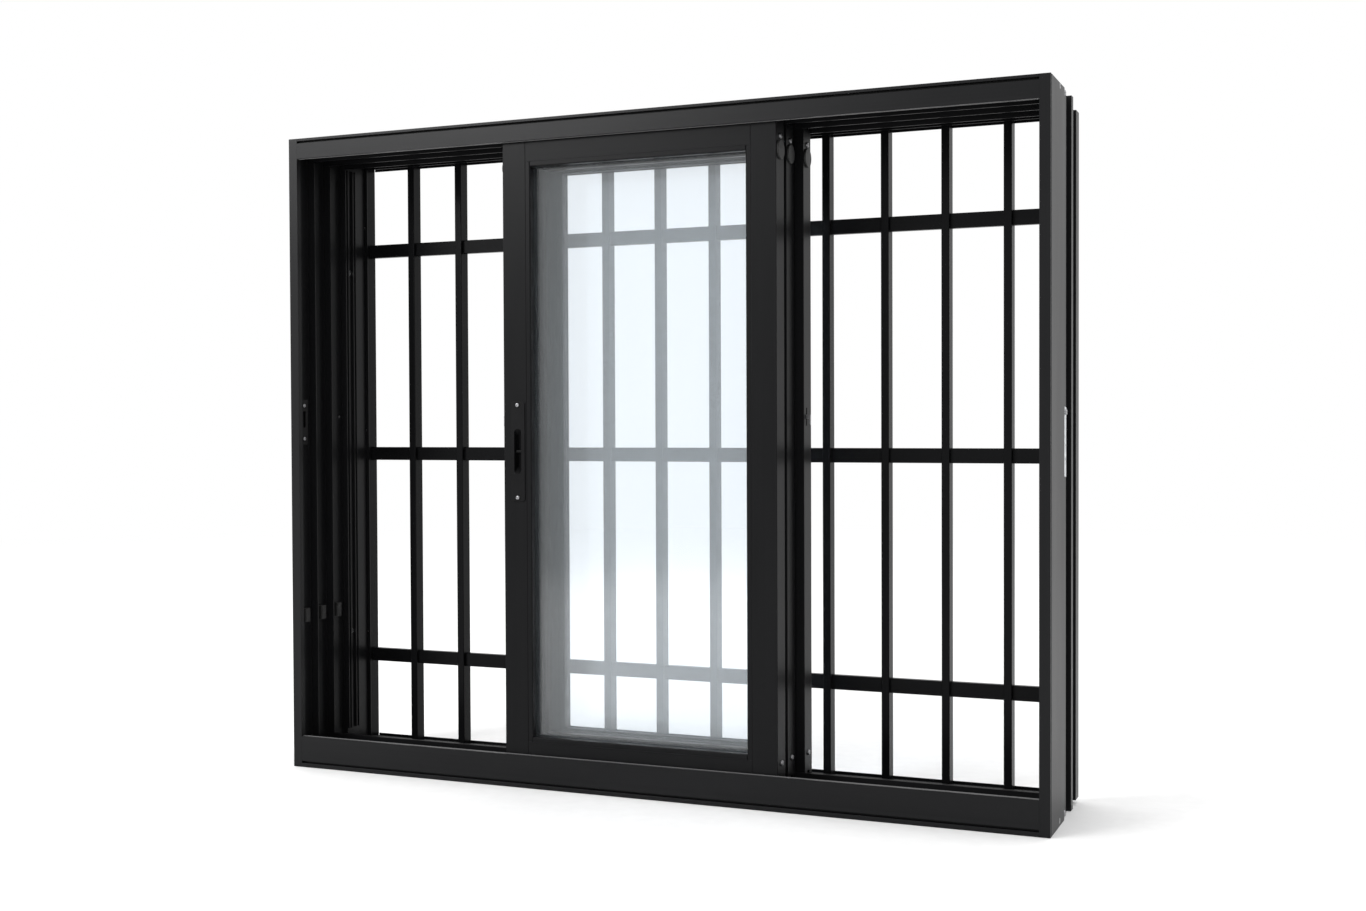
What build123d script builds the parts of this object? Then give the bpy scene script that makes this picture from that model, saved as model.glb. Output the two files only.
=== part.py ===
from build123d import *

import math
import os

# A black aluminium sliding window with a security grille built into its frame.
# Three glazed sashes run on rollers in three tracks, and the fixed grille stands behind them.
# X runs along the width, Y from the room side (front) to the outside, Z up.
# The origin is the middle of the underside.  Sizes are in millimetres.

# ---- Driving dimensions ----------------------------------------------------------------
FRAME_WIDTH = 1200.0
FRAME_HEIGHT = 1000.0
FRAME_DEPTH = 226.0

# Frame extrusions
WALL = 2.0                  # web thickness of every frame extrusion
FACE = 3.0                  # thickness of the front flanges
HEAD_FACE = 32.0            # height of the head's front flange
SILL_FACE = 49.0            # height of the sill's front flange
JAMB_FACE = 15.0            # width of a jamb's front flange
FLANGE_RETURN = 6.0         # depth of the return along a jamb flange's inner edge
LIP = 4.0                   # outer bead of the head flange
SILL_LIP = 6.0              # outer bead of the sill flange
GROOVE = 3.5                # shadow groove beside the bead
GROOVE_DEPTH = 6.5
GROOVE_WALL = 1.5
SIDE_GROOVE = 0.8           # depth of the groove along the jambs' outer sides
RECESS_START = 104.0        # depth from the front at which the side recess starts
SIDE_RECESS = 3.0           # how far the recess lies inside the outer plane beside the rear track
DEEP_RECESS = 9.5           # how far it lies inside behind that track
STRIP_START = 160.0         # depth at which the raised strip behind the recess starts
REAR_START = 174.0          # depth at which the rear (grille) part of the frame starts
REAR_RECESS = 5.0           # how far the jamb lies inside the outer plane there
REAR_DROP = 13.0            # the rear part's top lies this far below the head
REAR_BASE = 6.5             # the rear part's underside lies this far above the base
JAMB_RIB_DEPTHS = (140.0, 154.0)
FIN = 2.0                   # thickness of the fins that part the tracks
HEAD_FIN = 30.0             # how far the head's fins hang down from its top
SILL_FINS = (38.0, 38.0, 29.0)  # heights of the sill's fins above the base
SILL_FLOOR = 14.0           # height of the track floor above the base
TRACK_RIB = 2.4             # thickness of the rib that a sash runs on
SILL_RIB_TOP = 34.0         # height of that rib above the base
HEAD_RIB = 24.0             # how far the guide ribs hang down from the head's top
SCREW_PORT = 8.0            # outside size of a screw port

# Tracks and sashes
TRACKS = ("front", "middle", "rear")
SASH_FRONT = 9.0            # depth of the front sash's face behind the frame's face
TRACK_PITCH = 43.0
SASH_DEPTH = 33.0
SASH_STOP = 12.0            # a closed sash's edge lies this far inside the outer plane
SASH_OVERLAP = 66.0         # how far closed neighbours cover each other
SASH_REST = (0.0, 0.0, 11.0)  # x of each sash's middle as it is built
SASH_BASE = 26.0            # height of a sash's underside
SASH_HEAD_GAP = 16.0        # from a sash's top to the frame's top
STILE = 38.5
RAIL = 46.0                 # height of the top rail
SASH_WALL = 2.0
TOP_CHANNEL = 22.0          # depth of the top rail's open channel
RIB_SLOT = 10.0             # width of the slots that let the ribs pass through the stiles
RIB_GAP = 4.0               # height left over a rib inside such a slot

# Glazing
STOP_LEG = 8.0
BEAD = 7.5
BEAD_SETBACK = 0.4
BEAD_BEVEL = 1.5
GLASS_SETBACK = 13.0
GLASS = 5.0
GASKET = 1.8
GASKET_WIDTH = 6.0
GLASS_EDGE_GAP = 1.5
SLIP = 0.15                 # gap left between pieces that slide into each other

# Rollers
WHEEL_RADIUS = 12.0
WHEEL_GROOVE = 1.5
WHEEL_WIDTH = 8.0
GROOVE_WIDTH = 3.2
WHEEL_LIFT = 0.25           # gap between the rib and the groove's floor
WHEEL_ROOM = 3.25           # height left over a wheel in the bottom rail's channel
AXLE_RADIUS = 2.0
RUNNING = 0.05              # radial running clearance
HOUSING_LENGTH = 40.0
HOUSING_CHEEK = 3.0
HOUSING_GAP = 0.6           # side gap between a wheel and its cheeks
ROLLER_INSET = 30.0         # from a stile's inner edge to a roller's centre

# Top guides and side pads
GUIDE_LENGTH = 30.0
GUIDE_GAP = 0.6
PAD_RADIUS = 14.0
PAD = 2.5

# Flush latches
LATCH_HEIGHT = 505.0        # height of the latch plate's middle
PLATE_WIDTH = 24.0
PLATE_HEIGHT = 150.0
PLATE = 1.6
PLATE_OFFSET = 24.0         # from the sash's edge to the plate's middle
TUB_WIDTH = 16.0
TUB_HEIGHT = 76.0
TUB_DEPTH = 8.5
TUB_WALL = 1.4
POCKET_WIDTH = 12.0         # round-ended mouth of the finger pocket
POCKET_HEIGHT = 68.0
WINDOW_WIDTH = 9.0
WINDOW_HEIGHT = 48.0
THUMB = 4.0
LATCH_TRAVEL = 9.0          # the slider runs this far up and down
SLIDER = 2.0
HOOK = 3.0
HOOK_HEIGHT = 550.5         # height of the hook's middle at rest
HOOK_STEM = 6.0
HOOK_BEAK = 9.0
HOOK_TIP = 2.0
LATCH_SCREW_SPACING = 139.0

# Strikes
STRIKE_WIDTH = 18.0
STRIKE_HEIGHT = 72.0
STRIKE_PLATE = 1.8
STRIKE_GAP = 2.0            # from a closed sash's edge to the strike's face
STRIKE_SCREW_SPACING = 53.0

# Grille
BAR_WIDTH = 12.0
BAR_DEPTH = 22.0
BARS = 12
GRILLE_FRONT = 201.5        # depth of the bars' front faces
CROSSBAR_HEIGHT = 22.0
CROSSBAR_DEPTH = 10.0
CROSSBAR_LOW = 153.0        # height of the lowest crossbar's middle above the base
CROSSBAR_HIGH = 159.0       # from the highest crossbar's middle to the frame's top
CHANNEL_HEIGHT = 6.0
CHANNEL_WALL = 2.0
POST_SCREW_RISE = 40.0      # from a crossbar's middle to the screw that holds an end post

# Fixings
SCREW_HEAD = 4.0
SCREW_HEAD_HEIGHT = 2.2
SCREW_SHANK = 1.9
SCREW_HOLE = 2.0
FRAME_SCREW_LENGTH = 22.0
FRAME_SCREW_DEPTHS = (70.0, 117.0)
SMALL_HEAD = 3.0            # radius of the latch and strike screws' heads
WALL_HOLE = 4.0
WALL_HOLE_SPACING = 600.0
STRAP_LENGTH = 96.0
STRAP_WIDTH = 14.0
STRAP = 1.2
STRAP_KICK = 1.6            # how far the strap's free end leans out
STRAP_TILT = 7.0            # degrees that its free end swings towards the front
STRAP_DEPTH = 123.0         # depth of the strap's screw
BUMPER = 12.0
BUMPER_HEIGHT = 22.0
BUMPER_Z = 240.0
BUMPER_GAP = 0.5
BRUSH = 5.0
BRUSH_GAP = 0.5

# ---- Derived places --------------------------------------------------------------------
HALF = FRAME_WIDTH / 2
TOP = FRAME_HEIGHT
FRONT = -FRAME_DEPTH / 2
BACK = FRAME_DEPTH / 2
REAR_TOP = TOP - REAR_DROP
INNER_WEB = SIDE_RECESS + WALL
DEEP_WEB = DEEP_RECESS + WALL
REAR_WEB = REAR_RECESS + WALL
SASH_WIDTH = (FRAME_WIDTH - 2 * SASH_STOP + 2 * SASH_OVERLAP) / 3
SASH_TOP = TOP - SASH_HEAD_GAP
SASH_TRAVEL = HALF - SASH_STOP - SASH_WIDTH / 2
OPEN_X = SASH_WIDTH / 2 - STILE
AXLE_Z = SILL_RIB_TOP + WHEEL_LIFT + WHEEL_RADIUS - WHEEL_GROOVE
RAIL_CHANNEL = AXLE_Z + WHEEL_RADIUS + WHEEL_ROOM - SASH_BASE
BOTTOM_RAIL = RAIL_CHANNEL + SCREW_PORT
OPEN_LOW = SASH_BASE + BOTTOM_RAIL
OPEN_HIGH = SASH_TOP - RAIL
POST_X = HALF - BAR_WIDTH / 2
BAR_PITCH = 2 * POST_X / (BARS + 1)
BAR_MIDDLE = FRONT + GRILLE_FRONT + BAR_DEPTH / 2
TUB_FLOOR = TUB_DEPTH - TUB_WALL
SLIDER_FRONT = TUB_DEPTH + 2 * SLIP
HOOK_FRONT = SLIDER_FRONT + SLIDER
HOOK_OUT = STRIKE_GAP + STRIKE_PLATE + 0.4 + HOOK_TIP
HOOK_TOP = HOOK_HEIGHT + (HOOK_STEM + HOOK_BEAK) / 2
CROSSBAR_TOP = TOP - CROSSBAR_HIGH
CROSSBARS = [CROSSBAR_LOW, (CROSSBAR_LOW + CROSSBAR_TOP) / 2, CROSSBAR_TOP]


def sash_face(i):
    """Y of the face of sash i."""
    return FRONT + SASH_FRONT + i * TRACK_PITCH


def track_middle(i):
    """Y of the middle of track i."""
    return sash_face(i) + SASH_DEPTH / 2


def fin_middle(i):
    """Y of the fin behind track i."""
    return sash_face(i) + (SASH_DEPTH + TRACK_PITCH) / 2


# ---- Helpers ---------------------------------------------------------------------------
def rect(a0, a1, b0, b1):
    """Sketch rectangle between two corners."""
    return Pos((a0 + a1) / 2, (b0 + b1) / 2) * Rectangle(abs(a1 - a0), abs(b1 - b0))


def block(x0, x1, y0, y1, z0, z1):
    """Box between two corners."""
    middle = Pos((x0 + x1) / 2, (y0 + y1) / 2, (z0 + z1) / 2)
    return middle * Box(abs(x1 - x0), abs(y1 - y0), abs(z1 - z0))


def along_x(section, x0, x1):
    """Extrude a (Y, Z) sketch from x0 to x1."""
    return Pos(x0, 0, 0) * extrude(Plane.YZ * section, x1 - x0)


def along_z(section, z0, z1):
    """Extrude an (X, Y) sketch from z0 to z1."""
    return Pos(0, 0, z0) * extrude(section, z1 - z0)


def rod_x(radius, x0, x1, y, z):
    """Round bar along X."""
    return Pos((x0 + x1) / 2, y, z) * Rot(0, 90, 0) * Cylinder(radius, abs(x1 - x0))


def rod_y(radius, y0, y1, x, z):
    """Round bar along Y."""
    return Pos(x, (y0 + y1) / 2, z) * Rot(90, 0, 0) * Cylinder(radius, abs(y1 - y0))


def screw(length, head_radius=SCREW_HEAD):
    """Pan-head screw: the shank runs along -Z from the seat at z = 0, with a cross recess on top."""
    head = Pos(0, 0, SCREW_HEAD_HEIGHT / 2) * Cylinder(head_radius, SCREW_HEAD_HEIGHT)
    head = fillet(head.edges().group_by(Axis.Z)[-1], SCREW_HEAD_HEIGHT * 0.6)
    shank = Pos(0, 0, -length / 2) * Cylinder(SCREW_SHANK, length)
    slot = Pos(0, 0, SCREW_HEAD_HEIGHT) * Box(head_radius, 1.0, SCREW_HEAD_HEIGHT)
    cross = slot + Rot(0, 0, 90) * slot
    return head + shank - cross


def flat_screw_x(side, length, x, y, z):
    """Countersunk screw whose head lies flush at x, facing outwards on the given side."""
    head = Pos(0, 0, -WALL / 2) * Cone(SCREW_SHANK, SCREW_HEAD, WALL)
    shank = Pos(0, 0, -(WALL + length) / 2) * Cylinder(SCREW_SHANK, length - WALL)
    slot = Box(SCREW_HEAD, 1.0, WALL)
    cross = slot + Rot(0, 0, 90) * slot
    return Pos(x, y, z) * Rot(0, 90 * side, 0) * (head + shank - cross)


def screw_x(side, length, x, y, z, head_radius=SCREW_HEAD):
    """Screw whose head lies outwards on the given side (+1 right, -1 left)."""
    return Pos(x, y, z) * Rot(0, 90 * side, 0) * screw(length, head_radius)


def screw_y(length, x, y, z):
    """Screw whose head faces the front."""
    return Pos(x, y, z) * Rot(90, 0, 0) * screw(length, SMALL_HEAD)


def write(name, *solids, shift=0):
    """Write one node, one or more solids moved along X by shift, to its own file."""
    placed = [Pos(shift, 0, 0) * solid for solid in solids]
    shape = placed[0] if len(placed) == 1 else Compound(children=placed)
    export_step(shape, os.path.join("parts", name + ".step"))


# ---- Frame extrusions ------------------------------------------------------------------
def grooved_edge(z0, z1, groove):
    """Front flange edge from z0 to z1, thick enough for the deep shadow groove that starts at groove."""
    edge = rect(FRONT, FRONT + GROOVE_DEPTH + GROOVE_WALL, z0, z1)
    return edge, rect(FRONT, FRONT + GROOVE_DEPTH, groove, groove + GROOVE)


def head_section():
    """Section of the head: top web, grooved front flange, three fins, three guide ribs."""
    rear = FRONT + REAR_START
    section = rect(FRONT, FRONT + FACE, TOP - HEAD_FACE, TOP)
    section += rect(FRONT, rear, TOP - WALL, TOP)
    section += rect(rear - WALL, rear, REAR_TOP - WALL, TOP)
    section += rect(rear - WALL, BACK, REAR_TOP - WALL, REAR_TOP)
    for i in range(len(TRACKS)):
        fin, rib = fin_middle(i), track_middle(i)
        section += rect(fin - FIN / 2, fin + FIN / 2, TOP - HEAD_FIN, TOP)
        section += rect(rib - TRACK_RIB / 2, rib + TRACK_RIB / 2, TOP - HEAD_RIB, TOP)
    for depth in FRAME_SCREW_DEPTHS:
        y = FRONT + depth
        low = TOP - SCREW_PORT
        section += rect(y - SCREW_PORT / 2, y + SCREW_PORT / 2, low, TOP)
        section -= Pos(y, TOP - SCREW_PORT / 2) * Circle(SCREW_HOLE)
    groove_low = TOP - LIP - GROOVE
    edge, groove = grooved_edge(groove_low - GROOVE_WALL, TOP, groove_low)
    return section + edge - groove


def sill_section():
    """Section of the sill: hollow base, grooved front flange, fins and the ribs the rollers run on."""
    rear = FRONT + REAR_START
    section = rect(FRONT, FRONT + FACE, 0, SILL_FACE)
    section += rect(FRONT, rear, 0, SILL_FLOOR)
    section -= rect(FRONT + FACE, rear - WALL, WALL, SILL_FLOOR - WALL)
    section += rect(rear - WALL, BACK, REAR_BASE, REAR_BASE + WALL)
    for i, fin_top in enumerate(SILL_FINS):
        fin, rib = fin_middle(i), track_middle(i)
        section += rect(fin - FIN / 2, fin + FIN / 2, SILL_FLOOR - WALL, fin_top)
        section += rect(rib - TRACK_RIB / 2, rib + TRACK_RIB / 2, SILL_FLOOR - WALL, SILL_RIB_TOP)
    for depth in FRAME_SCREW_DEPTHS:
        y = FRONT + depth
        section += rect(y - SCREW_PORT / 2, y + SCREW_PORT / 2, 0, SILL_FLOOR)
        section -= Pos(y, SILL_FLOOR / 2) * Circle(SCREW_HOLE)
    edge, groove = grooved_edge(WALL, SILL_LIP + GROOVE + GROOVE_WALL, SILL_LIP)
    return section + edge - groove


def jamb_insets():
    """(inset, first depth, last depth) of the space a jamb and its end post fill inside the outer plane."""
    deep = fin_middle(len(TRACKS) - 1) - FIN / 2 - FRONT
    return [
        (JAMB_FACE, -1, FACE + FLANGE_RETURN),
        (INNER_WEB, RECESS_START - WALL, deep),
        (DEEP_WEB, deep, STRIP_START + WALL),
        (REAR_WEB, STRIP_START + WALL, GRILLE_FRONT - WALL),
        (BAR_WIDTH + SLIP, GRILLE_FRONT - WALL, FRAME_DEPTH + 1),
    ]


def between_jambs(section, z0, z1):
    """Head or sill: its webs reach the jambs' webs, and it is notched round everything they fill."""
    reach = HALF - WALL
    bar = along_x(section, -reach, reach)
    for side in (-1, 1):
        for inset, first, last in jamb_insets():
            ends = (side * (HALF - inset), side * HALF)
            bar -= block(*ends, FRONT + first, FRONT + last, z0 - 1, z1 + 1)
    return bar


def jamb_section():
    """Section of the right jamb: front flange, web, stepped side recess, raised strip, rear flange."""
    a, b = HALF - WALL, HALF
    recess, strip, rear = FRONT + RECESS_START, FRONT + STRIP_START, FRONT + REAR_START
    shallow, deep, rear_web = HALF - INNER_WEB, HALF - DEEP_WEB, HALF - REAR_WEB
    fin = fin_middle(len(TRACKS) - 1)
    grille = FRONT + GRILLE_FRONT
    section = rect(HALF - JAMB_FACE, HALF, FRONT, FRONT + FACE)
    section += rect(HALF - JAMB_FACE, HALF - JAMB_FACE + WALL, FRONT, FRONT + FACE + FLANGE_RETURN)
    section += rect(a, b, FRONT, recess)
    section += rect(shallow, b, recess - WALL, recess)
    section += rect(shallow, shallow + WALL, recess - WALL, fin + FIN / 2)
    section += rect(deep, shallow + WALL, fin - FIN / 2, fin + FIN / 2)
    section += rect(deep, deep + WALL, fin - FIN / 2, strip + WALL)
    section += rect(deep, b, strip, strip + WALL)
    section += rect(a, b, strip, rear)
    section += rect(rear_web, b, rear - WALL, rear)
    section += rect(rear_web, rear_web + WALL, strip, grille)
    section += rect(HALF - BAR_WIDTH, b, grille - WALL, grille)
    return section - rect(HALF - SIDE_GROOVE, HALF, FRONT + LIP, FRONT + LIP + GROOVE)


def jamb_fins():
    """Fins that part the tracks on the right jamb, and the ribs behind the last one."""
    section = Sketch()
    for i in range(len(TRACKS)):
        fin = fin_middle(i)
        web = HALF - WALL / 2 - (DEEP_RECESS if i == len(TRACKS) - 1 else 0)
        section += rect(HALF - JAMB_FACE, web, fin - FIN / 2, fin + FIN / 2)
    for depth in (*JAMB_RIB_DEPTHS, STRIP_START + FIN / 2):
        y = FRONT + depth
        section += rect(HALF - JAMB_FACE, HALF - DEEP_WEB + WALL / 2, y - FIN / 2, y + FIN / 2)
    return along_z(section, max(SILL_FINS) + SLIP, TOP - HEAD_FIN - SLIP)


def wall_hole_heights():
    """Heights of the holes for the wall plugs."""
    return [TOP / 2 + k * WALL_HOLE_SPACING / 2 for k in (-1, 1)]


def wall_hole_y():
    """Y of the wall plug holes, in the middle of the deep part of the recess."""
    return (fin_middle(len(TRACKS) - 1) + FIN / 2 + FRONT + STRIP_START) / 2


def frame_screw_places():
    """(Y, Z) of the screws that hold head and sill to a jamb."""
    heights = (TOP - SCREW_PORT / 2, SILL_FLOOR / 2)
    return [(FRONT + depth, z) for depth in FRAME_SCREW_DEPTHS for z in heights]


def outer_plane(y):
    """How far inside the outer plane a jamb's web lies beside the tracks, at depth y."""
    return SIDE_RECESS if y > FRONT + RECESS_START else 0.0


def make_jamb(side):
    """One full-height jamb, drilled for the frame screws, wall plugs, strap, end post and strike."""
    jamb = along_z(jamb_section(), 0, TOP) + jamb_fins()
    rear = (HALF - 2 * JAMB_FACE, HALF + 1, FRONT + REAR_START, BACK + 1)
    jamb -= block(*rear, REAR_TOP, TOP + 1)
    jamb -= block(*rear, -1, REAR_BASE)
    for y, z in frame_screw_places():
        jamb -= rod_x(SCREW_HOLE, HALF - 20, HALF + 1, y, z)
        if not outer_plane(y):
            sink = Cone(SCREW_HOLE, SCREW_HEAD + (SCREW_HOLE - SCREW_SHANK), WALL)
            jamb -= Pos(HALF - WALL / 2, y, z) * Rot(0, 90, 0) * sink
    for z in wall_hole_heights():
        jamb -= rod_x(WALL_HOLE, HALF - 20, HALF + 1, wall_hole_y(), z)
    jamb -= rod_x(SCREW_HOLE, HALF - 20, HALF + 1, FRONT + STRAP_DEPTH, strap_screw_height())
    for z in post_screw_heights():
        flange = FRONT + GRILLE_FRONT
        jamb -= rod_y(SCREW_HOLE, flange - WALL - 1, flange + 1, POST_X, z)
    if side < 0:
        jamb = mirror(jamb, Plane.YZ)
    for z in strike_screw_heights():
        jamb -= rod_x(SCREW_HOLE, side * (HALF - 20), side * (HALF + 1), strike_y(side), z)
    return jamb


# ---- Strikes, bumpers, brushes, straps and frame screws --------------------------------
def strike_track(side):
    """The front sash latches on the left jamb, the rear sash on the right jamb."""
    return 0 if side < 0 else len(TRACKS) - 1


def strike_y(side):
    """Y of the middle of this side's hook, which its strike is centred on."""
    return sash_face(strike_track(side)) + HOOK_FRONT + HOOK / 2


def strike_screw_heights():
    """Heights of a strike's two screws."""
    return [HOOK_HEIGHT + k * STRIKE_SCREW_SPACING / 2 for k in (-1, 1)]


def strike_base(side):
    """How far inside the outer plane the web behind this side's strike lies."""
    return WALL + outer_plane(strike_y(side))


def make_strike(side):
    """Hollow catch plate: the hook enters its slot and drops behind its face."""
    y = strike_y(side)
    face = HALF - SASH_STOP + STRIKE_GAP
    seat = HALF - strike_base(side)
    half_width, half_height = STRIKE_WIDTH / 2, STRIKE_HEIGHT / 2
    low, high = HOOK_HEIGHT - half_height, HOOK_HEIGHT + half_height
    strike = block(face, seat, y - half_width, y + half_width, low, high)
    hook_low = HOOK_TOP - HOOK_STEM - HOOK_BEAK
    slot_low, slot_high = hook_low - 1, HOOK_TOP + LATCH_TRAVEL + 1
    strike -= block(face - 1, seat + 1, y - HOOK, y + HOOK, slot_low, slot_high)
    cavity_low = hook_low - LATCH_TRAVEL - 1
    strike -= block(face + STRIKE_PLATE, seat + 1, y - HOOK, y + HOOK, cavity_low, slot_high)
    for z in strike_screw_heights():
        strike -= rod_x(SCREW_HOLE, face - 1, seat + 1, y, z)
        strike -= rod_x(SMALL_HEAD + SLIP, face - 1, face + 1, y, z)
    return strike if side > 0 else mirror(strike, Plane.YZ)


def strike_screws(side):
    """Two screws that hold a strike to its jamb."""
    y = strike_y(side)
    x = side * (HALF - SASH_STOP + STRIKE_GAP + 1)
    length = HALF - abs(x) - outer_plane(y)
    return [screw_x(-side, length, x, y, z, SMALL_HEAD) for z in strike_screw_heights()]


def bumpers(side):
    """Rubber stops, one in each track, that a sash comes up against."""
    made = []
    for i in range(len(TRACKS)):
        y = track_middle(i)
        web = side * (HALF - WALL - outer_plane(y))
        tip = side * (HALF - SASH_STOP + BUMPER_GAP)
        low, high = BUMPER_Z - BUMPER_HEIGHT / 2, BUMPER_Z + BUMPER_HEIGHT / 2
        body = block(tip, web, y - BUMPER / 2, y + BUMPER / 2, low, high)
        nose = body.edges().filter_by(Axis.Z).sort_by(Axis.X)
        made.append(fillet(nose[:2] if side > 0 else nose[-2:], 2.0))
    return made


def brushes():
    """Pile strips behind the front flanges, just clear of the front sash's face."""
    y0, y1 = FRONT + FACE, sash_face(0) - BRUSH_GAP
    reach = HALF - JAMB_FACE - SLIP
    high, low = TOP - HEAD_FACE, SILL_FACE
    strips = [
        block(-reach, reach, y0, y1, high, high + BRUSH),
        block(-reach, reach, y0, y1, low - BRUSH, low),
    ]
    for side in (-1, 1):
        edge = HALF - JAMB_FACE + WALL
        ends = (side * edge, side * (edge + BRUSH))
        strips.append(block(*ends, y0, y1, low, high))
    return strips


def strap_screw_height():
    """Height of the screw that holds a wall anchor strap."""
    return TOP / 2 + STRAP_LENGTH * 0.62


def make_strap(side):
    """Galvanised wall anchor strap, screwed at its top, its free end swung forward and out."""
    floor = HALF - SIDE_RECESS
    top = strap_screw_height() + STRAP_WIDTH / 2
    bend = top - STRAP_WIDTH
    low = top - STRAP_LENGTH
    tip = floor + STRAP_KICK
    outline = Polyline(
        (floor, top),
        (floor, bend),
        (tip, low),
        (tip + STRAP, low),
        (floor + STRAP, bend),
        (floor + STRAP, top),
        close=True,
    )
    strap = extrude(Plane.XZ * make_face(outline), STRAP_WIDTH / 2, both=True)
    strap -= rod_x(SCREW_HOLE, HALF - 20, HALF + 5, 0, strap_screw_height())
    for k in (0.55, 0.75):
        strap -= rod_x(SCREW_HOLE, HALF - 20, HALF + 9, 0, top - STRAP_LENGTH * k)
    pivot = Pos(0, 0, strap_screw_height())
    swung = pivot * Rot(-STRAP_TILT, 0, 0) * Pos(0, 0, -strap_screw_height()) * strap
    strap = Pos(0, FRONT + STRAP_DEPTH, 0) * swung
    return strap if side > 0 else mirror(strap, Plane.YZ)


def post_screw_heights():
    """Heights of the screws that hold an end post to its jamb."""
    return [z + POST_SCREW_RISE for z in CROSSBARS]


def frame_screws():
    """Screws through the jambs into head and sill, through the end posts, and in the straps."""
    made = []
    for side in (-1, 1):
        for y, z in frame_screw_places():
            inset = outer_plane(y)
            fixing = screw_x if inset else flat_screw_x
            made.append(fixing(side, FRAME_SCREW_LENGTH, side * (HALF - inset), y, z))
        back = FRONT + GRILLE_FRONT + BAR_DEPTH
        for z in post_screw_heights():
            made.append(Pos(side * POST_X, back, z) * Rot(-90, 0, 0) * screw(BAR_DEPTH + WALL))
        x = side * (HALF - SIDE_RECESS + STRAP)
        length = WALL + STRAP + 1
        made.append(screw_x(side, length, x, FRONT + STRAP_DEPTH, strap_screw_height()))
    return made


# ---- Grille ----------------------------------------------------------------------------
def bar_ends():
    """Lowest and highest point of the upright bars, inside their channels."""
    return REAR_BASE + WALL + CHANNEL_WALL, REAR_TOP - WALL - CHANNEL_WALL


def upright(x):
    """Upright bar, punched where the crossbars pass through."""
    low, high = bar_ends()
    front = FRONT + GRILLE_FRONT
    section = rect(x - BAR_WIDTH / 2, x + BAR_WIDTH / 2, front, front + BAR_DEPTH)
    bar = along_z(fillet(section.vertices(), 1.0), low, high)
    for z in CROSSBARS:
        half = CROSSBAR_HEIGHT / 2 + SLIP
        reach = (x - BAR_WIDTH, x + BAR_WIDTH)
        depth = CROSSBAR_DEPTH / 2 + SLIP
        bar -= block(*reach, BAR_MIDDLE - depth, BAR_MIDDLE + depth, z - half, z + half)
    return bar


def end_post(side):
    """End post of the grille, screwed to the jamb's rear flange; the crossbars stop in it."""
    x = side * POST_X
    front = FRONT + GRILLE_FRONT
    section = rect(x - BAR_WIDTH / 2, x + BAR_WIDTH / 2, front, front + BAR_DEPTH)
    post = along_z(section, REAR_BASE, REAR_TOP)
    for z in CROSSBARS:
        half = CROSSBAR_HEIGHT / 2 + SLIP
        depth = CROSSBAR_DEPTH / 2 + SLIP
        reach = (x - side * BAR_WIDTH, x)
        post -= block(*reach, BAR_MIDDLE - depth, BAR_MIDDLE + depth, z - half, z + half)
    for z in post_screw_heights():
        post -= rod_y(SCREW_HOLE, front - 1, front + BAR_DEPTH + 1, x, z)
    return post


def crossbar(z):
    """Flat bar that runs through every upright."""
    reach = POST_X - SLIP
    depth, half = CROSSBAR_DEPTH / 2, CROSSBAR_HEIGHT / 2
    section = rect(BAR_MIDDLE - depth, BAR_MIDDLE + depth, z - half, z + half)
    return along_x(fillet(section.vertices(), 1.0), -reach, reach)


def grille_channel(z_web, z_lips):
    """U channel that holds the ends of the uprights."""
    y0 = FRONT + GRILLE_FRONT - SLIP - CHANNEL_WALL
    y1 = FRONT + GRILLE_FRONT + BAR_DEPTH + SLIP + CHANNEL_WALL
    inner = z_web + CHANNEL_WALL * math.copysign(1, z_lips - z_web)
    section = rect(y0, y1, z_web, inner)
    section += rect(y0, y0 + CHANNEL_WALL, z_web, z_lips)
    section += rect(y1 - CHANNEL_WALL, y1, z_web, z_lips)
    reach = HALF - BAR_WIDTH - SLIP
    return along_x(section, -reach, reach)


# ---- Sashes ----------------------------------------------------------------------------
def make_stile(i, side):
    """Hollow stile with a leg that the glass is bedded against."""
    y = sash_face(i)
    outer, inner = side * SASH_WIDTH / 2, side * OPEN_X
    near, far = min(outer, inner), max(outer, inner)
    tube = rect(near, far, y, y + SASH_DEPTH)
    tube = fillet(tube.vertices(), 0.8)
    hollow = (near + SASH_WALL, far - SASH_WALL, y + SASH_WALL, y + SASH_DEPTH - SASH_WALL)
    stile = along_z(tube - rect(*hollow), SASH_BASE, SASH_TOP)
    leg = (inner + side * SASH_WALL, inner - side * STOP_LEG)
    leg_y = y + GLASS_SETBACK + GLASS + GASKET
    stile += block(*leg, leg_y, leg_y + SASH_WALL, OPEN_LOW, OPEN_HIGH)
    middle = track_middle(i)
    slot = (near - 1, far + 1, middle - RIB_SLOT / 2, middle + RIB_SLOT / 2)
    stile -= block(*slot, SASH_BASE - 1, SILL_RIB_TOP + RIB_GAP)
    stile -= block(*slot, TOP - HEAD_RIB - RIB_GAP, SASH_TOP + 1)
    for z in sash_screw_heights():
        stile -= rod_x(SCREW_HOLE, near - 1, far + 1, middle, z)
    return stile


def sash_screw_heights():
    """Heights of the screws that tie the stiles to the rails."""
    return (OPEN_LOW - (BOTTOM_RAIL - RAIL_CHANNEL) / 2, OPEN_HIGH + (RAIL - TOP_CHANNEL) / 2)


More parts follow.
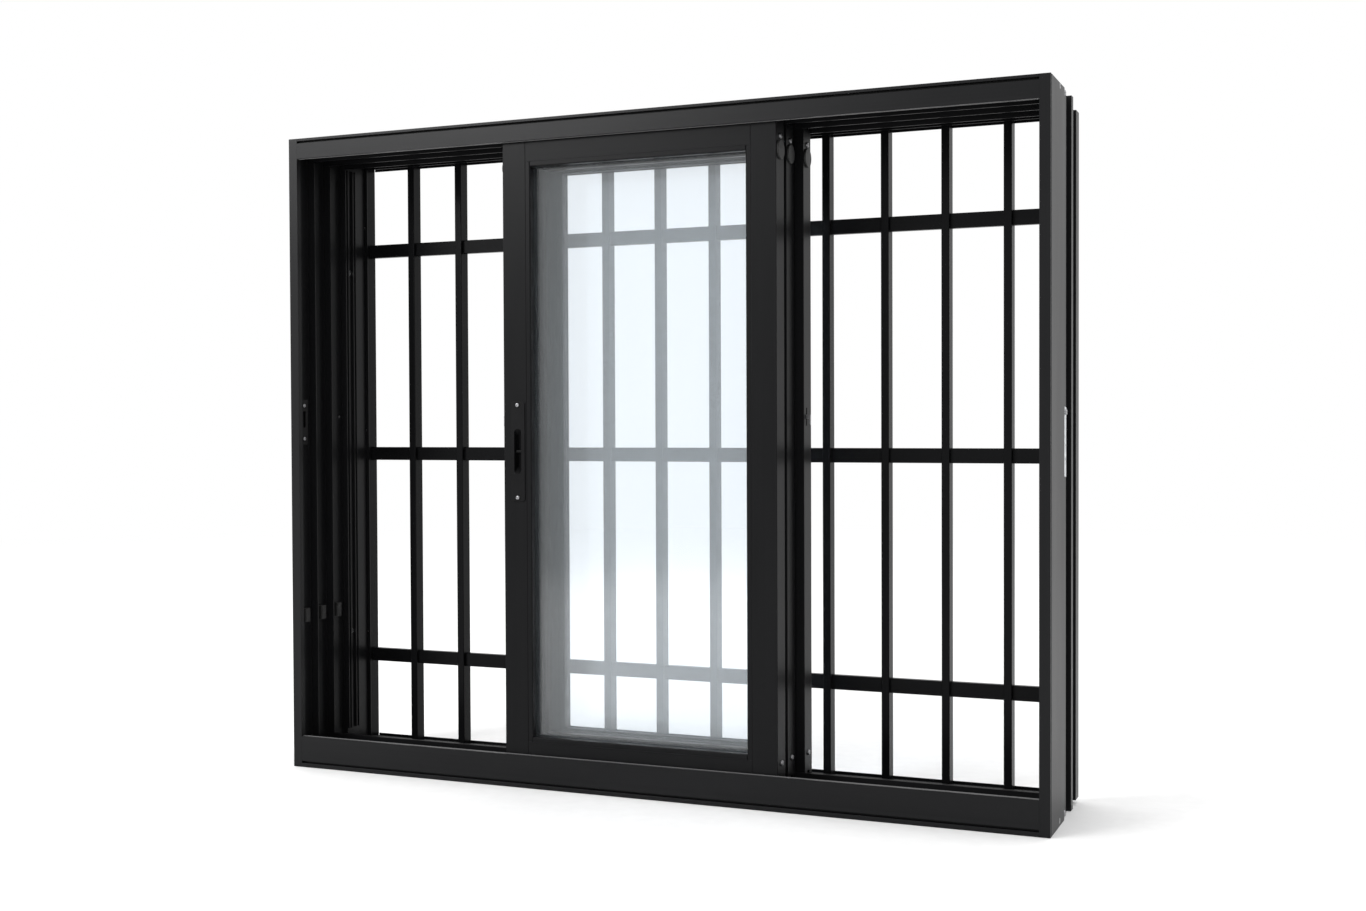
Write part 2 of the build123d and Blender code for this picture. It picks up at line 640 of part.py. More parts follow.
def make_bottom_rail(i):
    """Bottom rail: a deep channel for the rollers below a solid screw port, and a glazing leg."""
    y, middle = sash_face(i), track_middle(i)
    section = rect(y, y + SASH_DEPTH, SASH_BASE, OPEN_LOW)
    channel = (y + SASH_WALL, y + SASH_DEPTH - SASH_WALL)
    section -= rect(*channel, SASH_BASE - 1, SASH_BASE + RAIL_CHANNEL)
    section -= Pos(middle, sash_screw_heights()[0]) * Circle(SCREW_HOLE)
    return rail_with_leg(i, section, OPEN_LOW - SASH_WALL, OPEN_LOW + STOP_LEG)


def make_top_rail(i):
    """Top rail: an open channel round the guide rib above a hollow box with a screw port."""
    y, middle = sash_face(i), track_middle(i)
    port = sash_screw_heights()[1]
    section = rect(y, y + SASH_DEPTH, OPEN_HIGH, SASH_TOP)
    inside = (y + SASH_WALL, y + SASH_DEPTH - SASH_WALL)
    section -= rect(*inside, SASH_TOP - TOP_CHANNEL, SASH_TOP + 1)
    box_low, box_high = OPEN_HIGH + SASH_WALL, SASH_TOP - TOP_CHANNEL - SASH_WALL
    section -= rect(*inside, box_low, box_high)
    half = SCREW_PORT / 2
    section += rect(middle - half, middle + half, box_low, box_high)
    section -= Pos(middle, port) * Circle(SCREW_HOLE)
    return rail_with_leg(i, section, OPEN_HIGH + SASH_WALL, OPEN_HIGH - STOP_LEG)


def rail_with_leg(i, section, root, tip):
    """Rail between the stiles, with its glazing leg stopping at the stiles' legs."""
    rail = along_x(section, -OPEN_X, OPEN_X)
    leg_y = sash_face(i) + GLASS_SETBACK + GLASS + GASKET
    leg = rect(leg_y, leg_y + SASH_WALL, min(root, tip), max(root, tip))
    edge = OPEN_X - STOP_LEG
    return rail + along_x(leg, -edge, edge)


def make_glass(i):
    """Single pane."""
    y = sash_face(i) + GLASS_SETBACK
    x = OPEN_X - GLASS_EDGE_GAP
    low, high = OPEN_LOW + GLASS_EDGE_GAP, OPEN_HIGH - GLASS_EDGE_GAP
    return block(-x, x, y, y + GLASS, low, high)


def ring(x, low, high, width, y0, y1):
    """Rectangular ring, seen from the front."""
    outer = block(-x, x, y0, y1, low, high)
    return outer - block(-x + width, x - width, y0 - 1, y1 + 1, low + width, high - width)


def gaskets(i):
    """Rubber rings on both faces of the pane."""
    y = sash_face(i) + GLASS_SETBACK
    size = (OPEN_X - SLIP, OPEN_LOW + SLIP, OPEN_HIGH - SLIP, GASKET_WIDTH)
    return [ring(*size, y - GASKET, y), ring(*size, y + GLASS, y + GLASS + GASKET)]


def beads(i):
    """Four snap-in glazing beads with a bevelled inner edge."""
    y0 = sash_face(i) + BEAD_SETBACK
    y1 = sash_face(i) + GLASS_SETBACK - GASKET
    x, low, high = OPEN_X - SLIP, OPEN_LOW + SLIP, OPEN_HIGH - SLIP

    def section(edge, inward):
        tip = edge + inward * BEAD
        corner = tip - inward * BEAD_BEVEL
        return [(edge, y0), (corner, y0), (tip, y0 + BEAD_BEVEL), (tip, y1), (edge, y1)]

    made = []
    for side in (-1, 1):
        upright_bead = make_face(Polyline(*section(side * x, -side), close=True))
        made.append(along_z(upright_bead, low, high))
    for edge, inward in ((low, 1), (high, -1)):
        points = [(y, z) for z, y in section(edge, inward)]
        flat_bead = make_face(Polyline(*points, close=True))
        made.append(along_x(flat_bead, -x + BEAD, x - BEAD))
    return made


def sash_screws(i):
    """Screws through the stiles into the rails' screw ports."""
    y = track_middle(i)
    places = [(side, z) for side in (-1, 1) for z in sash_screw_heights()]
    return [screw_x(side, STILE + 14, side * SASH_WIDTH / 2, y, z) for side, z in places]


def top_guides(i):
    """Nylon guides that straddle the head's rib, and round pads on the stiles' outer sides."""
    y = track_middle(i)
    low, high = SASH_TOP - TOP_CHANNEL, SASH_TOP - 2
    half = SASH_DEPTH / 2 - SASH_WALL
    gap = TRACK_RIB / 2 + GUIDE_GAP
    made = []
    for side in (-1, 1):
        ends = (side * (OPEN_X - SLIP), side * (OPEN_X - GUIDE_LENGTH))
        guide = block(*ends, y - half, y + half, low, high)
        made.append(guide - block(*ends, y - gap, y + gap, TOP - HEAD_RIB - 1, high + 1))
        edge = side * SASH_WIDTH / 2
        pad_z = OPEN_HIGH - PAD_RADIUS / 2
        pad = rod_x(PAD_RADIUS, edge, edge + side * PAD, y, pad_z)
        rim = pad.edges().sort_by(Axis.X)[-1 if side > 0 else 0]
        made.append(fillet(rim, PAD / 2))
    return made


def roller_x(side):
    """X of a roller's axle."""
    return side * (OPEN_X - ROLLER_INSET)


def carriages(i):
    """Roller housings in the bottom rail's channel, each with its axle."""
    y = track_middle(i)
    top = SASH_BASE + RAIL_CHANNEL
    low = SILL_RIB_TOP + RIB_GAP
    inner = WHEEL_WIDTH / 2 + HOUSING_GAP
    outer = inner + HOUSING_CHEEK
    made = []
    for side in (-1, 1):
        x = roller_x(side)
        half, pocket = HOUSING_LENGTH / 2, WHEEL_RADIUS + 2
        housing = block(x - half, x + half, y - outer, y + outer, low, top)
        housing -= block(x - pocket, x + pocket, y - inner, y + inner, low - 1, top - 1.5)
        housing -= block(x - half - 1, x + half + 1, y - 3, y + 3, low - 1, low + 2)
        housing -= rod_y(AXLE_RADIUS, y - outer - 1, y + outer + 1, x, AXLE_Z)
        made.append(housing)
        made.append(rod_y(AXLE_RADIUS, y - outer, y + outer, x, AXLE_Z))
    return made


def roller(i, side):
    """Grooved nylon wheel that runs on the sill's rib."""
    half, groove = WHEEL_WIDTH / 2, GROOVE_WIDTH / 2
    floor = WHEEL_RADIUS - WHEEL_GROOVE
    flank = groove + 0.4
    points = [
        (AXLE_RADIUS + RUNNING, -half),
        (WHEEL_RADIUS - 0.6, -half),
        (WHEEL_RADIUS, -half + 0.6),
        (WHEEL_RADIUS, -flank),
        (floor, -groove),
        (floor, groove),
        (WHEEL_RADIUS, flank),
        (WHEEL_RADIUS, half - 0.6),
        (WHEEL_RADIUS - 0.6, half),
        (AXLE_RADIUS + RUNNING, half),
    ]
    section = make_face(Polyline(*points, close=True))
    wheel = revolve(section, Axis.Y)
    return Pos(roller_x(side), track_middle(i), AXLE_Z) * wheel


# ---- Latches ---------------------------------------------------------------------------
def plate_x(side):
    """X of a latch plate's middle."""
    return side * (SASH_WIDTH / 2 - PLATE_OFFSET)


def latch_screw_heights():
    """Heights of a latch plate's two screws."""
    return [LATCH_HEIGHT + k * LATCH_SCREW_SPACING / 2 for k in (-1, 1)]


def cut_for_latch(stile, i, side):
    """Open a stile for the latch's tub, its hook and its screws."""
    x, y = plate_x(side), sash_face(i)
    half, tall = TUB_WIDTH / 2 + SLIP, TUB_HEIGHT / 2 + SLIP
    stile -= block(x - half, x + half, y - 1, y + SASH_WALL + 1, LATCH_HEIGHT - tall, LATCH_HEIGHT + tall)
    edge = side * SASH_WIDTH / 2
    hook_y = y + HOOK_FRONT
    low = HOOK_TOP - HOOK_STEM - LATCH_TRAVEL - 1
    high = HOOK_TOP + LATCH_TRAVEL + 1
    wall = (edge - side * (SASH_WALL + 1), edge + side)
    stile -= block(*wall, hook_y - 0.6, hook_y + HOOK + 0.6, low, high)
    for z in latch_screw_heights():
        stile -= rod_y(SCREW_HOLE, y - 1, y + SASH_WALL + 1, x, z)
    return stile


def latch_shell(i, side):
    """Flush finger plate with a sunk tub; the slider shows through the window in its floor."""
    x, y, z = plate_x(side), sash_face(i), LATCH_HEIGHT
    outline = fillet(Rectangle(PLATE_WIDTH, PLATE_HEIGHT).vertices(), 4.0)
    plate = extrude(outline, PLATE)
    plate = fillet(plate.edges().group_by(Axis.Z)[-1], 0.7)
    tub = Pos(0, 0, -TUB_DEPTH / 2) * Box(TUB_WIDTH, TUB_HEIGHT, TUB_DEPTH)
    mouth = fillet(Rectangle(POCKET_WIDTH, POCKET_HEIGHT).vertices(), 0.48 * POCKET_WIDTH)
    width, height = WINDOW_WIDTH + 1, WINDOW_HEIGHT + 2
    floor = fillet(Rectangle(width, height).vertices(), 0.3 * width)
    hollow = loft([Pos(0, 0, PLATE) * mouth, Pos(0, 0, -TUB_FLOOR) * floor])
    window = Pos(0, 0, -TUB_DEPTH) * Box(WINDOW_WIDTH, WINDOW_HEIGHT, 4 * TUB_WALL)
    shell = plate + tub - hollow - window
    for k in (-1, 1):
        at = Pos(0, k * LATCH_SCREW_SPACING / 2, 0)
        shell -= at * Cylinder(SCREW_HOLE, 4 * PLATE)
    return Pos(x, y, z) * Rot(90, 0, 0) * shell


def latch_slider(i, side):
    """Thumb bar on a carriage that slides behind the tub's floor."""
    x, y, z = plate_x(side), sash_face(i), LATCH_HEIGHT
    tall = WINDOW_HEIGHT / 2 + LATCH_TRAVEL + 1
    half = WINDOW_WIDTH / 2 + 2
    front = y + SLIDER_FRONT
    slider = block(x - half, x + half, front, front + SLIDER, z - tall, z + tall)
    narrow = WINDOW_WIDTH / 2 - 0.4
    thumb = block(x - narrow, x + narrow, y + 1.5, front + SLIDER / 2, z - THUMB / 2, z + THUMB / 2)
    front_edges = thumb.edges().filter_by(Axis.X).sort_by(Axis.Y)[:2]
    return slider + fillet(front_edges, 1.2)


def latch_hook(i, side):
    """Steel hook fixed to the slider: stem through the stile's edge, beak pointing down."""
    x, edge = plate_x(side), side * SASH_WIDTH / 2
    tip = edge + side * HOOK_OUT
    root = edge + side * (HOOK_OUT - HOOK_TIP)
    y0 = sash_face(i) + HOOK_FRONT
    y1 = y0 + HOOK
    stem_low = HOOK_TOP - HOOK_STEM
    arm = block(x - 5, x + 5, y0, y1, LATCH_HEIGHT - 20, HOOK_TOP)
    stem = block(x, tip, y0, y1, stem_low, HOOK_TOP)
    beak = block(root, tip, y0, y1, stem_low - HOOK_BEAK, HOOK_TOP)
    return arm + stem + beak


def latch_screws(i, side):
    """Two screws that hold a latch plate."""
    y = sash_face(i) - PLATE
    return [screw_y(12, plate_x(side), y, z) for z in latch_screw_heights()]


# ---- Build -----------------------------------------------------------------------------
def write_frame():
    """Everything that stays still."""
    write("head", between_jambs(head_section(), TOP - HEAD_FACE, TOP))
    write("sill", between_jambs(sill_section(), 0, SILL_FACE))
    write("left_jamb", make_jamb(-1))
    write("right_jamb", make_jamb(1))
    write("frame_screws", *frame_screws())
    write("wall_anchor_straps", make_strap(-1), make_strap(1))
    write("strike_plates", make_strike(-1), make_strike(1))
    write("strike_screws", *strike_screws(-1), *strike_screws(1))
    write("jamb_bumpers", *bumpers(-1), *bumpers(1))
    write("brush_seals", *brushes())


def write_grille():
    """The fixed security grille."""
    write("grille_bars", *[upright((k + 1) * BAR_PITCH - POST_X) for k in range(BARS)])
    write("grille_crossbars", *[crossbar(z) for z in CROSSBARS])
    write("grille_left_post", end_post(-1))
    write("grille_right_post", end_post(1))
    bottom, top = REAR_BASE + WALL, REAR_TOP - WALL
    write("grille_bottom_channel", grille_channel(bottom, bottom + CHANNEL_HEIGHT))
    write("grille_top_channel", grille_channel(top, top - CHANNEL_HEIGHT))


def write_sash(i, name, latch_side):
    """One sliding sash with its glass, rollers and guides."""
    rest = SASH_REST[i]
    for side, word in ((-1, "left"), (1, "right")):
        stile = make_stile(i, side)
        if side == latch_side:
            stile = cut_for_latch(stile, i, side)
        write(f"{name}_sash_{word}_stile", stile, shift=rest)
        write(f"{name}_sash_{word}_roller", roller(i, side), shift=rest)
    write(f"{name}_sash_top_rail", make_top_rail(i), shift=rest)
    write(f"{name}_sash_bottom_rail", make_bottom_rail(i), shift=rest)
    write(f"{name}_sash_glass", make_glass(i), shift=rest)
    write(f"{name}_sash_gaskets", *gaskets(i), shift=rest)
    write(f"{name}_sash_beads", *beads(i), shift=rest)
    write(f"{name}_sash_screws", *sash_screws(i), shift=rest)
    write(f"{name}_sash_guides", *top_guides(i), shift=rest)
    write(f"{name}_sash_roller_carriages", *carriages(i), shift=rest)


def write_latch(i, name, side):
    """The flush latch of one sash."""
    rest = SASH_REST[i]
    write(f"{name}_latch_shell", latch_shell(i, side), shift=rest)
    write(f"{name}_latch_slider", latch_slider(i, side), shift=rest)
    write(f"{name}_latch_hook", latch_hook(i, side), shift=rest)
    write(f"{name}_latch_screws", *latch_screws(i, side), shift=rest)


os.makedirs("parts", exist_ok=True)
write_frame()
write_grille()
LATCH_SIDES = {"front": -1, "rear": 1}
for index, track in enumerate(TRACKS):
    write_sash(index, track, LATCH_SIDES.get(track, 0))
for track, latch_side in LATCH_SIDES.items():
    write_latch(TRACKS.index(track), track, latch_side)
print("sash width", SASH_WIDTH, "travel", SASH_TRAVEL, "bar pitch", BAR_PITCH, "axle height", AXLE_Z)
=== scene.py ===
"""A black three-track sliding window with a fixed grille behind it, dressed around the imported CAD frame."""
import math

import bpy
from mathutils import Matrix, Vector


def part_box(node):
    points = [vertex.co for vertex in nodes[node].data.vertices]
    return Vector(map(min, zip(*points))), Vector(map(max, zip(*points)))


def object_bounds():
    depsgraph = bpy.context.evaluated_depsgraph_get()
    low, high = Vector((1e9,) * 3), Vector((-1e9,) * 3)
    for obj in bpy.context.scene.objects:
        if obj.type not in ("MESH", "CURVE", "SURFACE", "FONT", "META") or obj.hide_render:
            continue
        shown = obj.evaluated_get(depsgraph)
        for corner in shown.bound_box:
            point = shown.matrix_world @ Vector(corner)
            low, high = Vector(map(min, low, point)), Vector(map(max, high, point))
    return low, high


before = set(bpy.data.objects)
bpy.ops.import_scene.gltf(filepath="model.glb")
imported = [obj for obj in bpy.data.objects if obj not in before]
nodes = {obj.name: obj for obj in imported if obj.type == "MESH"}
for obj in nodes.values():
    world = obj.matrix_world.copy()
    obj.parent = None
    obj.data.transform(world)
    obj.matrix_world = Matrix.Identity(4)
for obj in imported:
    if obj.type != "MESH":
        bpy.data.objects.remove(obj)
cad_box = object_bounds()
scene = bpy.context.scene

MM = 0.001
X_AXIS, Z_AXIS = 0, 2

CAMERA_PLACE = Vector((0.9783, -2.2352, 0.5448))
CAMERA_YAW = math.radians(22.971)      # turned towards -X from straight ahead
CAMERA_PITCH = math.radians(-1.1115)
CAMERA_ROLL = math.radians(-0.2271)
LENS = 42.44
SENSOR = 36.0

SURROUND = (1.0, 1.0, 1.0)
CEILING = 1.8                # brightness straight above, where the walls are 1
CEILING_START, CEILING_FULL = 0.25, 0.85    # height of a direction where it sets in and is full

KEY_PLACE = (-2.0, -2.6, 2.0)
KEY_AIM = (-0.3, 0.0, 0.8)
KEY_SIZE = (1.8, 1.0)
KEY_POWER = 80.0

FLOOR_HALF = 14.0
FLOOR_GAP = 0.5 * MM         # the floor lies this far below the frame
FLOOR_FADE = (1.4, 6.0)      # distances from the middle between which it turns into the surround

SOFT_EDGE = {"frame_black": 0.35 * MM, "sash_black": 0.3 * MM, "grille_black": 0.5 * MM}
SOFT_ANGLE = math.radians(40.0)
WELD = 0.01 * MM

FILM = (0.85, 0.94, 0.98)
FILM_SHARE = 0.023           # on each face of a pane, so twice through a pane


# ---------------------------------------------------------------- materials
class Nodes:
    """One material's node tree, with short calls for the nodes that the finishes share."""

    def __init__(self, name):
        self.material = bpy.data.materials.new(name)
        self.material.use_nodes = True
        self.tree = self.material.node_tree
        self.shader = self.tree.nodes["Principled BSDF"]
        self.place = self.add("ShaderNodeTexCoord").outputs["Object"]

    def add(self, kind, **values):
        node = self.tree.nodes.new(kind)
        for key, value in values.items():
            setattr(node, key, value)
        return node

    def link(self, source, target):
        self.tree.links.new(source, target)

    def stretched(self, scale):
        """The place in metres, times scale on each axis."""
        mapping = self.add("ShaderNodeMapping")
        mapping.inputs["Scale"].default_value = scale
        self.link(self.place, mapping.inputs["Vector"])
        return mapping.outputs["Vector"]

    def noise(self, scale, detail=3.0, roughness=0.55):
        node = self.add("ShaderNodeTexNoise")
        node.inputs["Scale"].default_value = 1.0
        node.inputs["Detail"].default_value = detail
        node.inputs["Roughness"].default_value = roughness
        self.link(self.stretched(scale), node.inputs["Vector"])
        return node.outputs["Fac"]

    def cells(self, scale):
        node = self.add("ShaderNodeTexVoronoi")
        node.inputs["Scale"].default_value = 1.0
        self.link(self.stretched(scale), node.inputs["Vector"])
        return node

    def spread(self, value, low, high, from_low=0.3, from_high=0.7):
        """Maps the middle of a noise onto low to high."""
        node = self.add("ShaderNodeMapRange")
        node.inputs["From Min"].default_value = from_low
        node.inputs["From Max"].default_value = from_high
        node.inputs["To Min"].default_value = low
        node.inputs["To Max"].default_value = high
        self.link(value, node.inputs["Value"])
        return node.outputs["Result"]

    def tint(self, value, dark, light, low=0.3, high=0.7):
        ramp = self.add("ShaderNodeValToRGB")
        ramp.color_ramp.elements[0].position = low
        ramp.color_ramp.elements[0].color = (*dark, 1.0)
        ramp.color_ramp.elements[1].position = high
        ramp.color_ramp.elements[1].color = (*light, 1.0)
        self.link(value, ramp.inputs["Fac"])
        return ramp.outputs["Color"]

    def mix(self, a, b, share):
        node = self.add("ShaderNodeMix", data_type="FLOAT")
        node.inputs["Factor"].default_value = share
        self.link(a, node.inputs["A"])
        self.link(b, node.inputs["B"])
        return node.outputs["Result"]

    def bump(self, heights):
        """Chains (height, strength, depth in metres) onto the shader's normal."""
        last = None
        for height, strength, depth in heights:
            node = self.add("ShaderNodeBump")
            node.inputs["Strength"].default_value = strength
            node.inputs["Distance"].default_value = depth
            self.link(height, node.inputs["Height"])
            if last is not None:
                self.link(last, node.inputs["Normal"])
            last = node.outputs["Normal"]
        self.link(last, self.shader.inputs["Normal"])

    def set(self, **values):
        for key, value in values.items():
            self.shader.inputs[key.replace("_", " ")].default_value = value

    def drive(self, key, value):
        self.link(value, self.shader.inputs[key])


def along(axis, length, across):
    """A noise scale that is drawn out along one axis."""
    return tuple(length if i == axis else across for i in range(3))


def powder_coat(name, axis, dark, light, roughness, specular):
    """Satin powder coat on an extrusion: a fine grain, faint die lines and slow cloudiness."""
    n = Nodes(name)
    grain = n.noise((1900.0,) * 3, detail=2.0)
    lines = n.noise(along(axis, 1.2, 520.0), detail=4.0)
    cloud = n.noise(along(axis, 2.5, 14.0), detail=3.0)
    mottle = n.mix(cloud, lines, 0.35)
    n.drive("Base Color", n.tint(mottle, dark, light))
    n.drive("Roughness", n.spread(n.mix(cloud, grain, 0.4), roughness - 0.04, roughness + 0.05))
    n.bump([(lines, 0.25, 0.00004), (grain, 0.30, 0.00003)])
    n.set(IOR=1.5, Specular_IOR_Level=specular)
    return n.material


def moulded(name, dark, light, roughness, grain_scale=1400.0, relief=0.35, specular=0.5):
    """A moulded or cast surface with a spark-eroded texture."""
    n = Nodes(name)
    grain = n.noise((grain_scale,) * 3, detail=2.0)
    cloud = n.noise((35.0,) * 3)
    n.drive("Base Color", n.tint(cloud, dark, light))
    n.drive("Roughness", n.spread(grain, roughness - 0.05, roughness + 0.06))
    n.bump([(grain, relief, 0.00004)])
    n.set(IOR=1.47, Specular_IOR_Level=specular)
    return n.material


def rubber(name):
    n = Nodes(name)
    bloom = n.noise((60.0, 60.0, 60.0))
    ribs = n.noise((900.0, 900.0, 900.0), detail=2.0)
    n.drive("Base Color", n.tint(bloom, (0.006, 0.006, 0.006), (0.016, 0.016, 0.016)))
    n.drive("Roughness", n.spread(ribs, 0.62, 0.78))
    n.bump([(ribs, 0.3, 0.00005)])
    n.set(IOR=1.5, Specular_IOR_Level=0.35)
    return n.material


def pile(name):
    """Dense woven pile: fine upright fibres seen from the side, in tufts."""
    n = Nodes(name)
    fibres = n.noise((2600.0, 2600.0, 90.0), detail=2.0)
    tufts = n.noise((320.0, 320.0, 320.0))
    n.drive("Base Color", n.tint(n.mix(fibres, tufts, 0.4), (0.008, 0.008, 0.009), (0.035, 0.035, 0.037)))
    n.drive("Roughness", n.spread(fibres, 0.8, 0.95))
    n.bump([(tufts, 0.5, 0.0003), (fibres, 0.7, 0.00015)])
    n.set(Specular_IOR_Level=0.25, Sheen_Weight=0.25, Sheen_Roughness=0.5)
    return n.material


def zinc(name, dark, light, roughness, spangle):
    """Bright metal with plating haze; spangle is the crystal size that hot dipping leaves."""
    n = Nodes(name)
    crystals = n.cells((1.0 / spangle,) * 3)
    haze = n.noise((420.0,) * 3)
    scuff = n.noise((2200.0, 2200.0, 160.0), detail=3.0)
    shade = n.mix(crystals.outputs["Distance"], haze, 0.5)
    n.drive("Base Color", n.tint(shade, dark, light, 0.2, 0.75))
    n.drive("Roughness", n.spread(n.mix(haze, scuff, 0.5), roughness - 0.07, roughness + 0.08))
    n.bump([(scuff, 0.25, 0.00003), (crystals.outputs["Distance"], 0.08, 0.00004)])
    n.set(Metallic=1.0)
    return n.material


def float_glass(name, tint):
    """Clear glass that lamps shine through, with a faint roller wave, dust and a milky film."""
    n = Nodes(name)
    wave = n.noise((3.0, 3.0, 1.2), detail=1.0)
    dust = n.noise((700.0, 700.0, 700.0), detail=4.0)
    n.drive("Roughness", n.spread(dust, 0.0, 0.012, 0.45, 0.8))
    n.bump([(wave, 0.02, 0.00005)])
    n.set(Base_Color=(*tint, 1.0), IOR=1.5, Transmission_Weight=1.0)
    clear = n.add("ShaderNodeBsdfTransparent")
    clear.inputs["Color"].default_value = (*tint, 1.0)
    film = n.add("ShaderNodeBsdfTranslucent")
    film.inputs["Color"].default_value = (*FILM, 1.0)
    bloom = n.add("ShaderNodeBsdfDiffuse")
    bloom.inputs["Color"].default_value = (*FILM, 1.0)
    haze = n.add("ShaderNodeMixShader")
    n.link(film.outputs["BSDF"], haze.inputs[1])
    n.link(bloom.outputs["BSDF"], haze.inputs[2])
    pane = n.add("ShaderNodeMixShader")
    pane.inputs["Fac"].default_value = FILM_SHARE
    n.link(n.shader.outputs["BSDF"], pane.inputs[1])
    n.link(haze.outputs["Shader"], pane.inputs[2])
    path = n.add("ShaderNodeLightPath")
    either = n.add("ShaderNodeMixShader")
    n.link(path.outputs["Is Shadow Ray"], either.inputs["Fac"])
    n.link(pane.outputs["Shader"], either.inputs[1])
    n.link(clear.outputs["BSDF"], either.inputs[2])
    n.link(either.outputs["Shader"], n.tree.nodes["Material Output"].inputs["Surface"])
    return n.material


def coats(name, dark, light, roughness, specular):
    """The same coat for pieces that run across and for upright ones, whose die lines differ."""
    look = (dark, light, roughness, specular)
    across = powder_coat(f"{name} coat across", X_AXIS, *look)
    upright = powder_coat(f"{name} coat upright", Z_AXIS, *look)
    return across, upright


frame_coats = coats("frame", (0.0045, 0.0046, 0.0051), (0.0072, 0.0073, 0.0079), 0.36, 0.13)
sash_coats = coats("sash", (0.0042, 0.0043, 0.0047), (0.0066, 0.0067, 0.0072), 0.34, 0.075)
grille_coats = coats("grille", (0.0040, 0.0041, 0.0045), (0.0062, 0.0063, 0.0068), 0.28, 0.05)
latch_coat = moulded("latch coat", (0.0022, 0.0022, 0.0025), (0.0040, 0.0040, 0.0044), 0.42, specular=0.1)
black_nylon = moulded("black nylon", (0.010, 0.010, 0.010), (0.018, 0.018, 0.018), 0.5)
white_nylon = moulded("white nylon", (0.62, 0.62, 0.59), (0.74, 0.74, 0.71), 0.42)
seal_rubber = rubber("seal rubber")
seal_pile = pile("seal pile")
plated = zinc("plated screw", (0.20, 0.20, 0.21), (0.42, 0.42, 0.43), 0.30, 0.0012)
galvanised = zinc("galvanised strap", (0.50, 0.52, 0.54), (0.78, 0.80, 0.82), 0.36, 0.006)
glass = float_glass("float glass", (0.955, 0.973, 0.990))

BY_SLOT = {
    "frame_black": frame_coats,
    "sash_black": sash_coats,
    "grille_black": grille_coats,
    "latch_black": (latch_coat, latch_coat),
    "clear_glass": (glass, glass),
    "rubber_black": (seal_rubber, seal_rubber),
    "brush_pile": (seal_pile, seal_pile),
    "nylon_black": (black_nylon, black_nylon),
    "nylon_white": (white_nylon, white_nylon),
    "screw_steel": (plated, plated),
    "galvanised": (galvanised, galvanised),
}


def is_upright(name):
    """Whether a node's extrusions run up; the bars do, though their node is wider than high."""
    low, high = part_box(name)
    size = high - low
    return size.z > size.x or name == "grille_bars"


slot_of = {}
for name, piece in nodes.items():
    for place in piece.material_slots:
        slot_of[name] = place.material.name.split(".")[0]
        across, upright = BY_SLOT[slot_of[name]]
        place.material = upright if is_upright(name) else across

# ---------------------------------------------------------------- softened edges
def soften(piece, width):
    """Rounds a CAD piece's sharp edges without touching its mesh."""
    weld = piece.modifiers.new("weld", "WELD")
    weld.merge_threshold = WELD
    bevel = piece.modifiers.new("edges", "BEVEL")
    bevel.width = width
    bevel.segments = 2
    bevel.limit_method = "ANGLE"
    bevel.angle_limit = SOFT_ANGLE
    bevel.use_clamp_overlap = True
    bevel.harden_normals = True


# The beads have their own bevel, and meet at their corners, where a weld would join them.
for name, piece in nodes.items():
    if slot_of[name] in SOFT_EDGE and not name.endswith("_beads"):
        soften(piece, SOFT_EDGE[slot_of[name]])


# ---------------------------------------------------------------- stage
def make_floor():
    """A pale floor that fades into the white surround."""
    half = FLOOR_HALF
    mesh = bpy.data.meshes.new("floor")
    corners = [(-half, -half, 0.0), (half, -half, 0.0), (half, half, 0.0), (-half, half, 0.0)]
    mesh.from_pydata(corners, [], [(0, 1, 2, 3)])
    floor = bpy.data.objects.new("floor", mesh)
    scene.collection.objects.link(floor)
    floor.location.z = cad_box[0][2] - FLOOR_GAP
    n = Nodes("floor")
    speckle = n.noise((40.0,) * 3)
    n.drive("Base Color", n.tint(speckle, (0.73, 0.73, 0.73), (0.76, 0.76, 0.76)))
    n.set(Roughness=0.7, Specular_IOR_Level=0.2)
    glow = n.add("ShaderNodeEmission")
    glow.inputs["Color"].default_value = (*SURROUND, 1.0)
    reach = n.add("ShaderNodeVectorMath", operation="LENGTH")
    n.link(n.place, reach.inputs[0])
    fade = n.spread(reach.outputs["Value"], 0.0, 1.0, *FLOOR_FADE)
    fade.node.interpolation_type = "SMOOTHSTEP"
    both = n.add("ShaderNodeMixShader")
    n.link(fade, both.inputs["Fac"])
    n.link(n.shader.outputs["BSDF"], both.inputs[1])
    n.link(glow.outputs["Emission"], both.inputs[2])
    n.link(both.outputs["Shader"], n.tree.nodes["Material Output"].inputs["Surface"])
    mesh.materials.append(n.material)


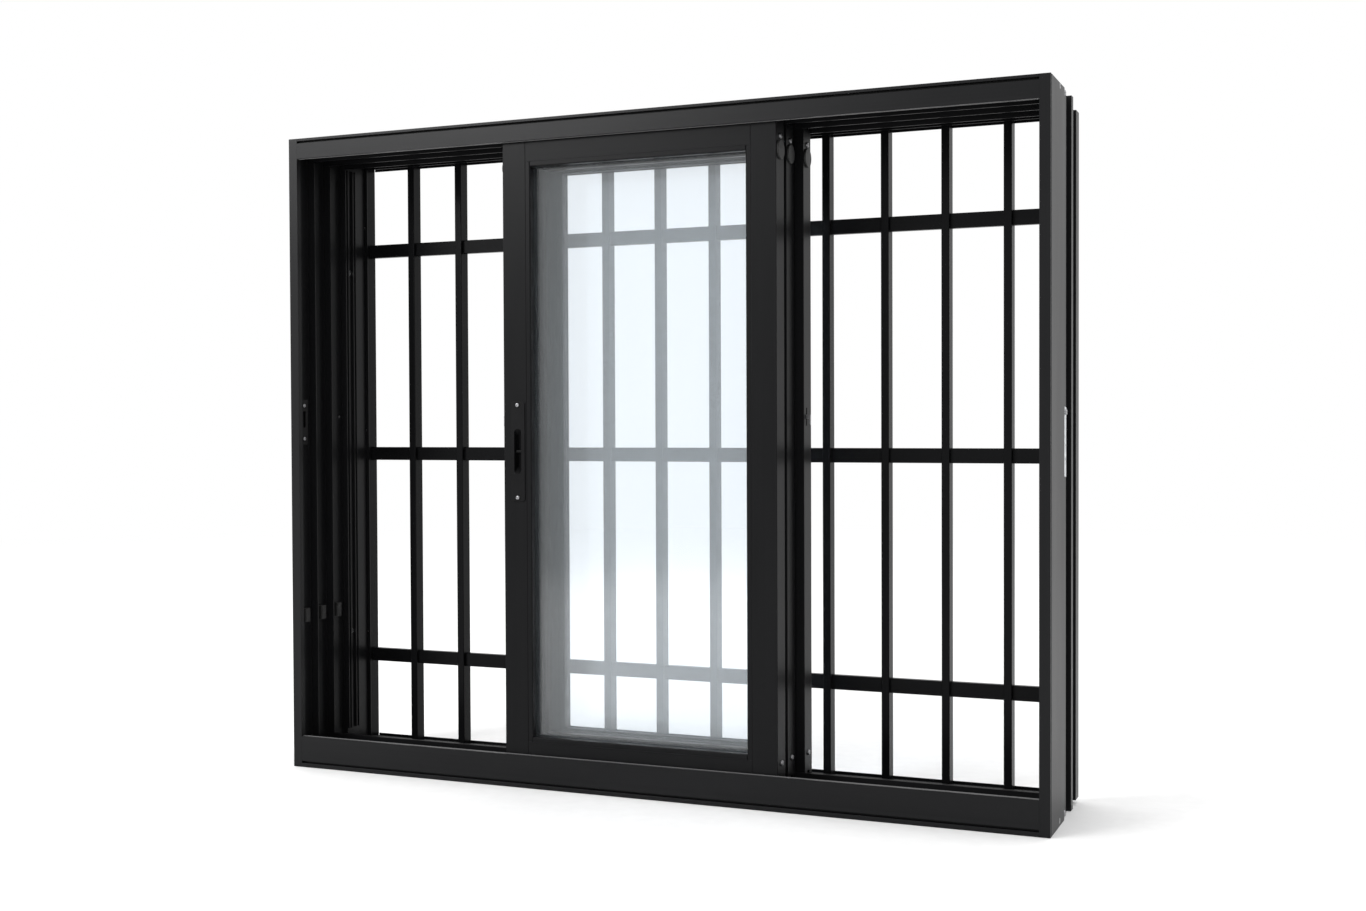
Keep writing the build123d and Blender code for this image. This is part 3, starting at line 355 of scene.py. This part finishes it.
def make_world():
    """A white studio with a brighter ceiling."""
    world = bpy.data.worlds.new("studio")
    world.use_nodes = True
    tree = world.node_tree
    background = tree.nodes["Background"]
    background.inputs["Color"].default_value = (*SURROUND, 1.0)
    place = tree.nodes.new("ShaderNodeTexCoord")
    split = tree.nodes.new("ShaderNodeSeparateXYZ")
    tree.links.new(place.outputs["Generated"], split.inputs["Vector"])
    ramp = tree.nodes.new("ShaderNodeMapRange")
    ramp.interpolation_type = "SMOOTHSTEP"
    ramp.inputs["From Min"].default_value = CEILING_START
    ramp.inputs["From Max"].default_value = CEILING_FULL
    ramp.inputs["To Min"].default_value = 1.0
    ramp.inputs["To Max"].default_value = CEILING
    tree.links.new(split.outputs["Z"], ramp.inputs["Value"])
    tree.links.new(ramp.outputs["Result"], background.inputs["Strength"])
    scene.world = world


def make_softbox(name, place, aim, size, power):
    """A rectangular lamp at place, turned towards aim."""
    lamp = bpy.data.lights.new(name, "AREA")
    lamp.shape = "RECTANGLE"
    lamp.size, lamp.size_y = size
    lamp.energy = power
    thing = bpy.data.objects.new(name, lamp)
    scene.collection.objects.link(thing)
    thing.location = place
    thing.rotation_euler = (Vector(aim) - Vector(place)).to_track_quat("-Z", "Y").to_euler()


def make_camera():
    """The camera, turned by yaw, pitch and roll from looking along +Y."""
    ahead = Vector((
        -math.sin(CAMERA_YAW) * math.cos(CAMERA_PITCH),
        math.cos(CAMERA_YAW) * math.cos(CAMERA_PITCH),
        math.sin(CAMERA_PITCH),
    ))
    level = Vector((math.cos(CAMERA_YAW), math.sin(CAMERA_YAW), 0.0))
    over = level.cross(ahead)
    right = level * math.cos(CAMERA_ROLL) + over * math.sin(CAMERA_ROLL)
    up = over * math.cos(CAMERA_ROLL) - level * math.sin(CAMERA_ROLL)
    turn = Matrix((right, up, -ahead)).transposed()
    camera = bpy.data.cameras.new("camera")
    camera.lens = LENS
    camera.sensor_width = SENSOR
    camera.sensor_fit = "HORIZONTAL"
    thing = bpy.data.objects.new("camera", camera)
    thing.matrix_world = Matrix.Translation(CAMERA_PLACE) @ turn.to_4x4()
    scene.collection.objects.link(thing)
    scene.camera = thing


scene.view_settings.view_transform = "Standard"
make_world()
make_floor()
make_softbox("key", KEY_PLACE, KEY_AIM, KEY_SIZE, KEY_POWER)
make_camera()
